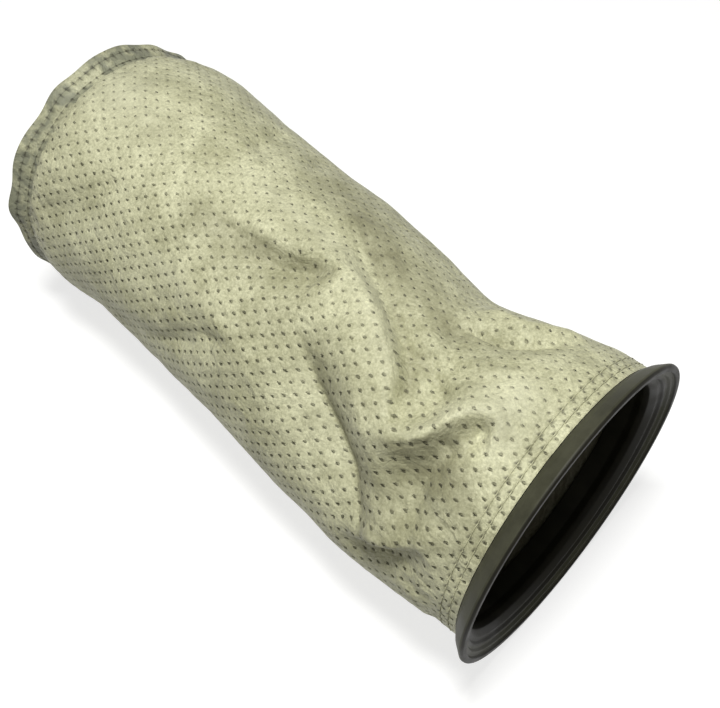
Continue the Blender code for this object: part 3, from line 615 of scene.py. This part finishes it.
def sew(lift, depths):
    """Press seam ridges, grooves and needle holes into the relief; returns the painted shade of the
    holes, grooves and end seam.
    """
    count = lift.shape[1]
    bumps = np.random.default_rng(SEAM_BUMPS_SEED).uniform(*SEAM_BUMPS, count)
    for offset, height in SEAM_RIDGES:
        lift[ring_at(depths, SEAM + offset)] = height * (bumps if height > 0 else 1.0)
    shade = np.zeros(lift.shape)
    rows = [(row, STITCH_STRIDE) for row in STITCH_ROWS]
    rows += [(SEAM + row, LIP_STRIDE) for row in LIP_ROWS]
    for number, (row, stride) in enumerate(rows):
        i = ring_at(depths, row)
        holes = (np.arange(count) + number * stride // 2) % stride == 0
        lift[i] = np.where(holes, -HOLE_DEPTH, -GROOVE_DEPTH)
        shade[i] = GROOVE_DARK
        shade[i, np.roll(holes, 1) | np.roll(holes, -1)] = BESIDE_DARK
        shade[i - 1:i + 2, holes] = ROUND_DARK
        shade[i, holes] = 1.0
    shade[ring_at(depths, SEAM)] = SEAM_DARK
    return shade


def inner_wall(depths, depth, angle, radius):
    """Points of the cloth's plain inside, with fewer rings and columns."""
    stations = [*np.arange(depths[0], BAG_LENGTH, INNER_ROW), SEAM, BAG_LENGTH]
    rows = np.unique([ring_at(depths, station) for station in stations])
    picked = np.ix_(rows, np.arange(1, depth.shape[1], INNER_STRIDE))
    wall = np.where(depth[picked] <= HEM_END, 2 * CLOTH, CLOTH)
    inner = place(depth[picked], angle[picked], lowest_near(radius, depths)[picked] - wall)
    inner[..., 2] = np.maximum(inner[..., 2], CLOTH)
    return inner


def make_cloth_tube(material):
    """Embossed cloth: dotted outside, plain inside, joined at the hem and at the raw edge."""
    depths, dot_rows, columns, centre, parity = cloth_grid()
    count = len(columns)
    depth, angle = np.meshgrid(depths, columns, indexing="ij")
    radius = cloth_radius(depth, angle)
    above = ramp(place(depth, angle, radius)[..., 2], *NEAR_FLOOR)
    radius = radius + (fine_relief(depth, angle) + lip_ruffle(depth, angle)) * above
    points = place(depth, angle, radius)
    lift = dot_relief(dot_rows, centre, parity)
    painted_stitch_shade = sew(lift, depths)
    points = points + grid_normals(points) * lift[..., None]
    points[..., 2] = np.maximum(points[..., 2], 0.0)
    inner = inner_wall(depths, depth, angle, radius)

    # Outside, with each corner's place among the dots
    vertices = list(points.reshape(-1, 3)) + list(inner.reshape(-1, 3))
    faces = []
    lattice = []
    cells = columns / 360.0 * 2 * DOT_PAIRS
    cells = np.append(cells, cells[0] + 2 * DOT_PAIRS)
    row_at = (depths - depths[0]) / DOT_ROW
    for i in range(len(depths) - 1):
        faces += band(i * count, (i + 1) * count, count)
        near, far = row_at[i:i + 2]
        for left, right in zip(cells[:-1], cells[1:]):
            lattice += [(left, near, 1.0), (right, near, 1.0), (right, far, 1.0), (left, far, 1.0)]

    # Inside, then the hem's fold and the raw edge between the two
    base = len(depths) * count
    rings, inner_count = inner.shape[:2]
    for i in range(rings - 1):
        start = base + i * inner_count
        faces += band(start, start + inner_count, inner_count, inward=True)
    for outer_ring, inner_ring, flip in ((0, 0, False), (len(depths) - 1, rings - 1, True)):
        start = base + inner_ring * inner_count
        for j in range(inner_count):
            first = j * INNER_STRIDE + 1
            outer = [outer_ring * count + (first + s) % count for s in range(INNER_STRIDE + 1)]
            fan = [start + j, *outer, start + (j + 1) % inner_count]
            faces.append(fan[::-1] if flip else fan)
    corners = sum(len(face) for face in faces)
    lattice += [(0.0, 0.0, -1.0)] * (corners - len(lattice))
    piece = mesh_piece("embossed_cloth_tube", vertices, faces, material, lattice)

    middle, full, none, share = FAINT_DOTS
    faint_dots = share * (1 - ramp(np.abs(turn_from(angle, middle)), full, none))
    # Written on the mesh: painted shade and light along the folds, painted shade of the stitching,
    # fainter dots
    for name, values in (("painted_shading", painted_shading_level(depth, angle)), ("painted_stitch_shade", painted_stitch_shade),
                         ("faint_dots", faint_dots)):
        level = np.zeros(len(vertices), np.float32)
        level[:base] = values.ravel()
        piece.data.attributes.new(name, "FLOAT", "POINT").data.foreach_set("value", level)
    return piece


def turned(name, outline, columns, centre, material):
    """Closed ring: an outline of (depth, radius) points turned about an X axis."""
    points = []
    turns = np.linspace(0.0, 2 * math.pi, columns, endpoint=False)
    for (depth, radius), t in product(outline, turns):
        z = max(0.0, centre[2] + radius * math.sin(t))
        points.append((centre[0] - depth, centre[1] + radius * math.cos(t), z))
    faces = []
    for i in range(len(outline)):
        faces += band(i * columns, (i + 1) % len(outline) * columns, columns)
    return mesh_piece(name, points, faces, material)


def rounded(outline, radius, steps):
    """The closed outline with each corner rounded off, by at most a third of its sides."""
    result = []
    count = len(outline)
    for i in range(count):
        before = np.array(outline[i - 1])
        corner = np.array(outline[i])
        after = np.array(outline[(i + 1) % count])
        into = before - corner
        out = after - corner
        reach = min(radius, np.linalg.norm(into) / 3, np.linalg.norm(out) / 3)
        start = corner + into / np.linalg.norm(into) * reach
        end = corner + out / np.linalg.norm(out) * reach
        for t in np.linspace(0.0, 1.0, steps + 1):
            result.append(tuple((1 - t) ** 2 * start + 2 * t * (1 - t) * corner + t * t * end))
    return result


def collar_section():
    """Outline of the collar as (depth, radius), round the outside and back through the hole."""
    foot = HEM_RADIUS + BAND_FOOT
    sleeve_outside = HEM_RADIUS - 2 * CLOTH - GAP
    sleeve_inside = sleeve_outside - SLEEVE_WALL
    sleeve_end = BAND_DEPTH + SLEEVE_DEPTH
    outline = [(0.0, COLLAR_RADIUS - RIM_ROUND),
               (RIM_DEPTH / 3, COLLAR_RADIUS - RIM_ROUND / 4),
               (RIM_DEPTH, COLLAR_RADIUS),
               (BAND_DEPTH - FLARE_DEPTH, foot + BAND_FLARE),
               (BAND_DEPTH, foot),
               (BAND_DEPTH, sleeve_outside),
               (sleeve_end, sleeve_outside),
               (sleeve_end, sleeve_inside),
               (NECK_START + 2 * NECK_LENGTH, sleeve_inside),
               (NECK_START + NECK_LENGTH, MOUTH_RADIUS),
               (NECK_START, MOUTH_RADIUS)]
    ring_inside = COLLAR_RADIUS - RIM_ROUND - FRONT_RING
    for step in range(STEPS, 0, -1):
        depth = step * STEP_DEPTH
        edge = ring_inside - (step - 1) * STEP_WIDTH
        outline.append((depth, edge - STEP_WIDTH + STEP_SLANT))
        outline.append((depth, edge - STEP_SLANT))
    outline.append((0.0, ring_inside))
    return outline


def make_collar(material):
    """Moulded collar with soft corners."""
    outline = rounded(collar_section(), COLLAR_CORNER, COLLAR_CORNER_STEPS)
    centre = (BAG_LENGTH / 2, SIDE_SHIFT, COLLAR_RADIUS - COLLAR_PRESS)
    piece = turned("rubber_collar", outline, COLLAR_COLUMNS, centre, material)
    outside = [float(r > HEM_RADIUS and d > RIM_DEPTH / 2) for d, r in outline]
    data = piece.data.attributes.new("outside", "FLOAT", "POINT").data
    data.foreach_set("value", np.repeat(np.array(outside, np.float32), COLLAR_COLUMNS))
    return piece


def make_end_panel(material):
    """Embossed round panel, bowed outwards, with its rim turned back inside the lip."""
    columns = np.arange(PANEL_COLUMNS) * 360.0 / PANEL_COLUMNS
    depth, angle = np.meshgrid(np.linspace(SEAM, BAG_LENGTH, PANEL_RIM_RINGS), columns, indexing="ij")
    radius = cloth_radius(depth, angle)
    above = ramp(place(depth, angle, radius)[..., 2], *NEAR_FLOOR)
    radius = radius - (CLOTH + GAP) + lip_ruffle(depth, angle) * above
    rings = [*place(depth, angle, radius), *place(depth, angle, radius - CLOTH)[:0:-1]]

    # Flat lattice of dots inside the rim, as points of a triangulated disc
    edge = float(np.min(radius[0])) - CLOTH
    flat = []
    levels = []
    reach = int(edge / DOT_ROW) + 1
    cells = range(-reach, reach + 1)
    for i, j, a, b in product(cells, cells, FRACTIONS, FRACTIONS):
        x = (i + a) * DOT_ROW
        y = (j + b) * DOT_ROW
        if math.hypot(x, y) < edge - PANEL_MARGIN:
            flat.append((x, y))
            levels.append(1.0 if a == b == 0.5 and (i + j) % 2 == 0 else 0.0)
    border = len(flat)
    turns = np.radians(columns)
    flat += [(r * math.cos(t), r * math.sin(t)) for r, t in zip(radius[0] - CLOTH, turns)]
    levels += [0.0] * PANEL_COLUMNS
    result = geometry.delaunay_2d_cdt([Vector(p) for p in flat], [], [], 0, SAME_POINT)
    flat = np.array(result[0])
    share = np.hypot(flat[:, 0], flat[:, 1]) / edge
    around = np.sin(PANEL_PUCKERS * np.arctan2(flat[:, 1], flat[:, 0]))
    pucker = PANEL_PUCKER * around * ramp(share, 0.55, 0.95) * (1 - ramp(share, 0.97, 1.0))
    bow = SEAM + PANEL_BULGE * np.clip(1 - share ** 2, 0.0, 1.0) + pucker
    centre = place(np.array(SEAM), np.array(0.0), np.array(0.0))
    front = np.stack([BAG_LENGTH / 2 - bow, centre[1] + flat[:, 0], centre[2] + flat[:, 1]], axis=1)
    back = front.copy()
    back[:, 0] = BAG_LENGTH / 2 - (bow + CLOTH - DOT_DEPTH * np.array(levels))

    # The disc's two faces, then the rim from its front round to its back
    size = len(back)
    rim_start = 2 * size
    vertices = [*back, *front, *np.concatenate(rings)]
    faces = [list(face) for face in result[2]]
    faces += [[size + v for v in face[::-1]] for face in result[2]]
    for i in range(len(rings) - 1):
        start = rim_start + i * PANEL_COLUMNS
        faces += band(start, start + PANEL_COLUMNS, PANEL_COLUMNS)
    faces += band(rim_start + (len(rings) - 1) * PANEL_COLUMNS, border, PANEL_COLUMNS)
    faces += band(size + border, rim_start, PANEL_COLUMNS)
    lattice = []
    for v in [v for face in faces for v in face]:
        across, along = (vertices[v][1:] - centre[1:]) / DOT_ROW
        lattice.append((across, along, 1.0) if v < size else (0.0, 0.0, 0.0))
    return mesh_piece("embossed_end_panel", vertices, faces, material, lattice)


def thread_tube(name, path, material):
    """Thread along a closed path of points."""
    curve = bpy.data.curves.new(name, "CURVE")
    curve.dimensions = "3D"
    curve.bevel_depth = THREAD
    curve.bevel_resolution = THREAD_SIDES
    curve.use_fill_caps = True
    spline = curve.splines.new("POLY")
    spline.points.add(len(path) - 1)
    for point, place_at in zip(spline.points, path):
        point.co = (*place_at, 1.0)
    spline.use_cyclic_u = True
    curve.materials.append(material)
    return add_object(name, curve)


def make_collar_stitches(material):
    """Two rows of thread that dip into each needle hole behind the collar."""
    columns = cloth_grid()[2]
    pieces = []
    for number, row in enumerate(STITCH_ROWS):
        path = []
        for j, angle in enumerate(columns):
            from_hole = (j + number * STITCH_STRIDE // 2) % STITCH_STRIDE
            rise = min(1.0, THREAD_RISE * math.sin(math.pi * from_hole / STITCH_STRIDE))
            height = THREAD - HOLE_DEPTH + (HOLE_DEPTH - THREAD * THREAD_SUNK) * rise
            path.append(place(row, angle, cloth_radius(np.array(row), angle) + height))
        pieces.append(thread_tube(f"collar_stitches_{number + 1}", path, material))
    return pieces


def new_material(name):
    """Material with nodes, still plain."""
    material = bpy.data.materials.new(name)
    material.use_nodes = True
    return material


class Nodes:
    """Short calls to add and link shader nodes of one material or world."""

    def __init__(self, owner):
        self.material = owner
        self.tree = owner.node_tree
        self.shader = self.tree.nodes.get("Principled BSDF")

    def add(self, kind, **inputs):
        node = self.tree.nodes.new(kind)
        for key, value in inputs.items():
            node.inputs[key.replace("_", " ")].default_value = value
        return node

    def link(self, source, target):
        self.tree.links.new(source, target)

    def maths(self, kind, first, second):
        """Output of a Math node fed by sockets or constants."""
        node = self.add("ShaderNodeMath")
        node.operation = kind
        for socket, value in zip(node.inputs, (first, second)):
            if isinstance(value, float):
                socket.default_value = value
            else:
                self.link(value, socket)
        return node.outputs["Value"]

    def mix(self, kind, first, second, factor=None):
        """Output of a colour Mix node fed by sockets, fully mixed if factor is left out."""
        node = self.add("ShaderNodeMix")
        node.data_type = "RGBA"
        node.blend_type = kind
        node.inputs["Factor"].default_value = 1.0
        for socket, value in (("A", first), ("B", second), ("Factor", factor)):
            if value is not None:
                self.link(value, node.inputs[socket])
        return node.outputs["Result"]

    def tinted(self, colour, tint, share):
        """The colour with a plain tint mixed in by a share."""
        result = self.mix("MIX", colour, None, share)
        result.node.inputs["B"].default_value = (*tint, 1.0)
        return result

    def noise(self, **inputs):
        """Fac of a noise texture in the piece's own space."""
        texture = self.add("ShaderNodeTexNoise", **inputs)
        place_in = self.add("ShaderNodeTexCoord")
        self.link(place_in.outputs["Object"], texture.inputs["Vector"])
        return texture.outputs["Fac"]

    def bump(self, height, strength, distance, under=None):
        """Normal of a bump, laid over the one under it."""
        node = self.add("ShaderNodeBump", Strength=strength, Distance=distance)
        self.link(height, node.inputs["Height"])
        if under is not None:
            self.link(under, node.inputs["Normal"])
        return node.outputs["Normal"]

    def between(self, value, start, end, kind="LINEAR"):
        """0 at the start to 1 at the end of a range."""
        node = self.add("ShaderNodeMapRange", From_Min=start, From_Max=end)
        node.interpolation_type = kind
        self.link(value, node.inputs["Value"])
        return node.outputs["Result"]

    def set(self, **values):
        """Plain values of the shader's sockets."""
        for key, value in values.items():
            self.shader.inputs[key.replace("_", " ")].default_value = value

    def attribute(self, name, output="Fac"):
        """A value written on the mesh."""
        node = self.add("ShaderNodeAttribute")
        node.attribute_name = name
        return node.outputs[output]

    def ramp(self, source, start, end):
        """Colour ramp between two stops of (position, colour), a grey as one number."""
        node = self.add("ShaderNodeValToRGB")
        for element, (position, colour) in zip(node.color_ramp.elements, (start, end)):
            element.position = position
            element.color = (*([colour] * 3 if isinstance(colour, float) else colour), 1.0)
        self.link(source, node.inputs["Fac"])
        return node.outputs["Color"]


def cloth_material():
    """Pale nonwoven cloth: blotches, fibres, small creases, embossed dots in rows, and painted shade
    and light along the folds.
    """
    nodes = Nodes(new_material("filter_cloth"))
    blotch = nodes.noise(Scale=38.0, Detail=7.0, Roughness=0.68)
    fibre = nodes.noise(Scale=620.0, Detail=4.0, Roughness=0.7)
    crease = nodes.noise(Scale=55.0, Detail=5.0, Roughness=0.55, Distortion=0.9)
    tone = nodes.ramp(blotch, (0.32, CLOTH_DARK), (0.64, CLOTH_LIGHT))
    speck = nodes.ramp(fibre, (0.34, (0.70, 0.70, 0.66)), (0.66, (1.16, 1.16, 1.14)))
    mottled = nodes.mix("MULTIPLY", tone, speck)

    # Dots: the nearest one in the staggered lattice, and the distance to it in metres
    split = nodes.add("ShaderNodeSeparateXYZ")
    nodes.link(nodes.attribute("lattice", "Vector"), split.inputs["Vector"])
    across, along, side = split.outputs
    dotted = nodes.maths("MAXIMUM", side, 0.0)
    slant = nodes.maths("MULTIPLY", nodes.maths("ADD", across, along), 0.5)
    counter = nodes.maths("MULTIPLY", nodes.maths("SUBTRACT", across, along), 0.5)
    a = nodes.maths("SUBTRACT", nodes.maths("FRACT", slant, 0.0), 0.5)
    b = nodes.maths("SUBTRACT", nodes.maths("FRACT", nodes.maths("ADD", counter, 0.5), 0.0), 0.5)
    off_round = nodes.maths("MULTIPLY", nodes.maths("ADD", a, b), DOT_STEP)
    off_along = nodes.maths("MULTIPLY", nodes.maths("SUBTRACT", a, b), DOT_ROW * DOT_SQUEEZE)
    squares = nodes.maths("ADD", nodes.maths("MULTIPLY", off_round, off_round),
                          nodes.maths("MULTIPLY", off_along, off_along))
    distance = nodes.maths("SQRT", squares, 0.0)
    ragged = nodes.maths("MULTIPLY", nodes.maths("SUBTRACT", fibre, 0.5), DOT_RAGGED)
    faint = nodes.attribute("faint_dots")
    smaller = nodes.maths("MULTIPLY", faint, FAINT_DOT_SHRINK)
    reached = nodes.maths("ADD", nodes.maths("ADD", distance, ragged), smaller)
    fall = nodes.between(reached, DOT_RADIUS, DOT_FLOOR, "SMOOTHSTEP")
    lip = nodes.between(along, LIP_ROW + LIP_FADE[0], LIP_ROW + LIP_FADE[1])
    on_lip = nodes.maths("MULTIPLY", lip, dotted)
    shown = nodes.maths("SUBTRACT", dotted, nodes.maths("MULTIPLY", on_lip, LIP_WORN))
    pressed = nodes.maths("MULTIPLY", fall, shown)
    grime = nodes.ramp(blotch, (0.35, 0.95), (0.65, 0.6))
    soiled = nodes.maths("MULTIPLY", pressed, grime)
    soiled = nodes.maths("MULTIPLY", soiled, nodes.maths("SUBTRACT", 1.0, faint))
    colour = nodes.tinted(mottled, DOT_COLOUR, soiled)

    # Painted shade in the folds, painted light on the crests
    painted_shading = nodes.attribute("painted_shading")
    uneven = nodes.ramp(blotch, (0.35, 1.0), (0.65, 0.6))
    for amount, tint in ((PAINTED_SHADE_SHARE, PAINTED_SHADE_COLOUR), (-PAINTED_LIGHT_SHARE, PAINTED_LIGHT_COLOUR)):
        share = nodes.maths("MAXIMUM", nodes.maths("MULTIPLY", painted_shading, amount), 0.0)
        colour = nodes.tinted(colour, tint, nodes.maths("MULTIPLY", share, uneven))

    # Painted shade on the lip beyond the end seam, laid on in patches
    patch = nodes.ramp(crease, (0.46, 0.98), (0.60, 0.22))
    colour = nodes.tinted(colour, LIP_SHADE_COLOUR, nodes.maths("MULTIPLY", on_lip, patch))

    # Painted shade in the needle holes, the grooves between them and the end seam
    colour = nodes.tinted(colour, STITCH_SHADE_COLOUR, nodes.attribute("painted_stitch_shade"))

    # Painted shade on the inside of the bag
    inside = nodes.maths("MAXIMUM", nodes.maths("MULTIPLY", side, -1.0), 0.0)
    colour = nodes.tinted(colour, PAINTED_INSIDE_SHADE, nodes.maths("MULTIPLY", inside, PAINTED_INSIDE_SHADE_SHARE))
    nodes.link(colour, nodes.shader.inputs["Base Color"])

    dots = nodes.bump(nodes.maths("SUBTRACT", 1.0, pressed), 1.0, DOT_BUMP)
    wrinkles = nodes.bump(crease, 0.8, 0.004, dots)
    nodes.link(nodes.bump(fibre, 0.7, 0.0006, wrinkles), nodes.shader.inputs["Normal"])
    nodes.set(Roughness=0.5, Specular_IOR_Level=0.3, Sheen_Weight=0.05, Sheen_Roughness=0.4)
    return nodes.material


def rubber_material():
    """Dark olive moulded rubber with a dull sheen."""
    nodes = Nodes(new_material("collar_rubber"))
    cloud = nodes.noise(Scale=60.0, Detail=5.0, Roughness=0.6)
    grain = nodes.noise(Scale=1400.0, Detail=2.0)
    tone = nodes.ramp(cloud, (0.3, (0.007, 0.0065, 0.004)), (0.75, (0.015, 0.014, 0.008)))
    # The outside band a lighter olive than the front face and the mouth
    outside_tone = nodes.ramp(cloud, (0.3, (0.030, 0.030, 0.018)), (0.7, (0.062, 0.062, 0.040)))
    colour = nodes.mix("MIX", tone, outside_tone, nodes.attribute("outside"))
    nodes.link(colour, nodes.shader.inputs["Base Color"])
    nodes.link(nodes.ramp(cloud, (0.3, 0.42), (0.7, 0.58)), nodes.shader.inputs["Roughness"])
    nodes.set(Specular_IOR_Level=0.12)
    nodes.link(nodes.bump(grain, 0.2, 0.0002), nodes.shader.inputs["Normal"])
    return nodes.material


def background_rays(nodes):
    """1 for the rays that see the background: from the camera, or reflected or refracted."""
    paths = nodes.add("ShaderNodeLightPath")
    seen = paths.outputs[BACKGROUND_RAYS[0]]
    for ray in BACKGROUND_RAYS[1:]:
        seen = nodes.maths("MAXIMUM", seen, paths.outputs[ray])
    return seen


def floor_material():
    """Pale floor, raised to white where it is seen or reflected, its shadows kept."""
    nodes = Nodes(new_material("pale_floor"))
    nodes.set(Roughness=0.9, Base_Color=FLOOR_COLOUR, Emission_Color=(1.0, 1.0, 1.0, 1.0))
    raised = nodes.maths("MULTIPLY", background_rays(nodes), FLOOR_RAISE)
    nodes.link(raised, nodes.shader.inputs["Emission Strength"])
    return nodes.material


def make_floor():
    """Large pale plane just under the bag."""
    bpy.ops.mesh.primitive_plane_add(size=FLOOR_SIZE, location=(0.0, 0.0, -FLOOR_DROP))
    floor = bpy.context.object
    floor.name = "floor"
    floor.data.materials.append(floor_material())


def aim(thing, target):
    """Turn a lamp or camera's -Z towards a point."""
    direction = Vector(target) - thing.location
    thing.rotation_euler = direction.to_track_quat("-Z", "Y").to_euler()


def area_light(name, place_at, target, size, power):
    """Square soft light aimed at a point."""
    lamp = bpy.data.lights.new(name, "AREA")
    lamp.shape = "SQUARE"
    lamp.size = size
    lamp.energy = power
    thing = add_object(name, lamp)
    thing.location = place_at
    aim(thing, target)


def light_scene():
    """Soft studio light from almost overhead, with a little from the near side."""
    world = bpy.data.worlds.new("studio")
    world.use_nodes = True
    nodes = Nodes(world)
    shown = nodes.mix("MIX", None, None, background_rays(nodes))
    shown.node.inputs["A"].default_value = (*[WORLD_LIGHT * part for part in WORLD_TINT], 1.0)
    shown.node.inputs["B"].default_value = (WORLD_SHOWN, WORLD_SHOWN, WORLD_SHOWN, 1.0)
    nodes.link(shown, nodes.tree.nodes["Background"].inputs["Color"])
    bpy.context.scene.world = world
    area_light("key_light", (0.12, -0.20, 1.41), (0.0, 0.0, 0.08), size=0.26, power=19.0)
    area_light("fill_light", (0.5, -1.0, 1.0), (0.0, 0.0, 0.05), size=0.9, power=2.6)


def make_camera():
    """Camera at the photograph's viewing angle."""
    camera = bpy.data.cameras.new("camera")
    camera.sensor_width = SENSOR
    camera.lens = CAMERA_LENS
    camera.clip_start = 0.01
    thing = add_object("camera", camera)
    thing.location = CAMERA_PLACE
    thing.rotation_euler = (math.radians(90.0 - CAMERA_ELEVATION), 0.0, math.radians(CAMERA_AZIMUTH))
    bpy.context.scene.camera = thing


make_camera()
make_floor()
light_scene()

cloth = cloth_material()
rubber = rubber_material()
tube = make_cloth_tube(cloth)
panel = make_end_panel(cloth)
collar = make_collar(rubber)
stitches = make_collar_stitches(cloth)

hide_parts("cloth_tube")
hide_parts("end_panel")
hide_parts("collar")
for piece in [tube, panel, collar] + stitches:
    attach(piece, "root")

scene = bpy.context.scene
scene.view_settings.view_transform = "Standard"
